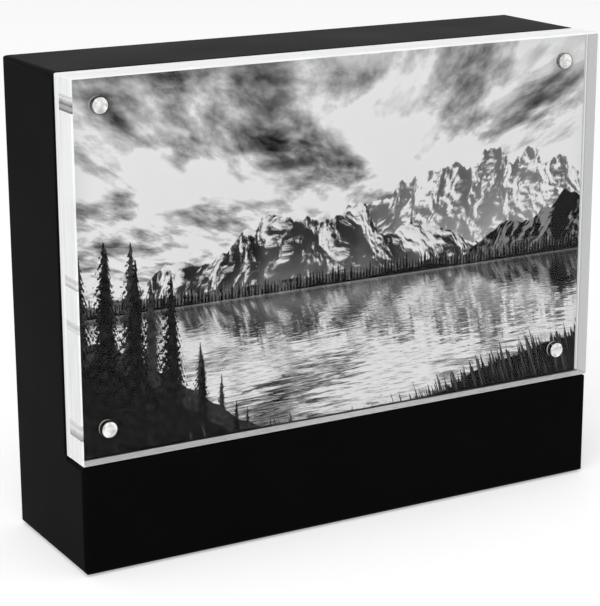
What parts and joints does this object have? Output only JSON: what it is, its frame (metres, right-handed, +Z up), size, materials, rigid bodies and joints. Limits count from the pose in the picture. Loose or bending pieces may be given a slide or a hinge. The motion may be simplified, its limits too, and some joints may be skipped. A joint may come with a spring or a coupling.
{
  "type": "acrylic magnetic photo frame",
  "caption": "Free-standing photo frame: a thick clear acrylic block, held by magnets on a deep black case with a ledge, clamps a landscape photo print.",
  "frame": {"origin": "middle of the footprint, on the surface that the frame stands on", "axes": "+X along the width to the viewer's right, +Y from the picture towards the back of the case, +Z up"},
  "size_m": [0.203, 0.0574, 0.1656],
  "materials": {
    "clear_acrylic": "clear, polished",
    "nickel_plate": "bright nickel",
    "photo_paper": "lustre",
    "black_lacquer": "satin",
    "pad_rubber": "matt"
  },
  "bodies": {
    "case": {"back_plate": "clear_acrylic", "plate_magnet_top_left": "nickel_plate", "plate_magnet_top_right": "nickel_plate", "plate_magnet_bottom_left": "nickel_plate", "plate_magnet_bottom_right": "nickel_plate", "front_board": "black_lacquer", "ledge_block": "black_lacquer", "top_board": "black_lacquer", "base_board": "black_lacquer", "left_board": "black_lacquer", "right_board": "black_lacquer", "back_board": "black_lacquer", "foot_pad_front_left": "pad_rubber", "foot_pad_front_right": "pad_rubber", "foot_pad_back_left": "pad_rubber", "foot_pad_back_right": "pad_rubber"},
    "block": {"front_block": "clear_acrylic", "block_magnet_top_left": "nickel_plate", "block_magnet_top_right": "nickel_plate", "block_magnet_bottom_left": "nickel_plate", "block_magnet_bottom_right": "nickel_plate"},
    "print": {"photo_print": "photo_paper"}
  },
  "joints": [
    {"name": "block_pull", "type": "slide", "parent": "case", "child": "block", "axis": [0, -1, 0], "range_m": [0, 0.06]},
    {"name": "print_lift", "type": "slide", "parent": "case", "child": "print", "axis": [0, 0, 1], "range_m": [0, 0.13]}
  ]
}
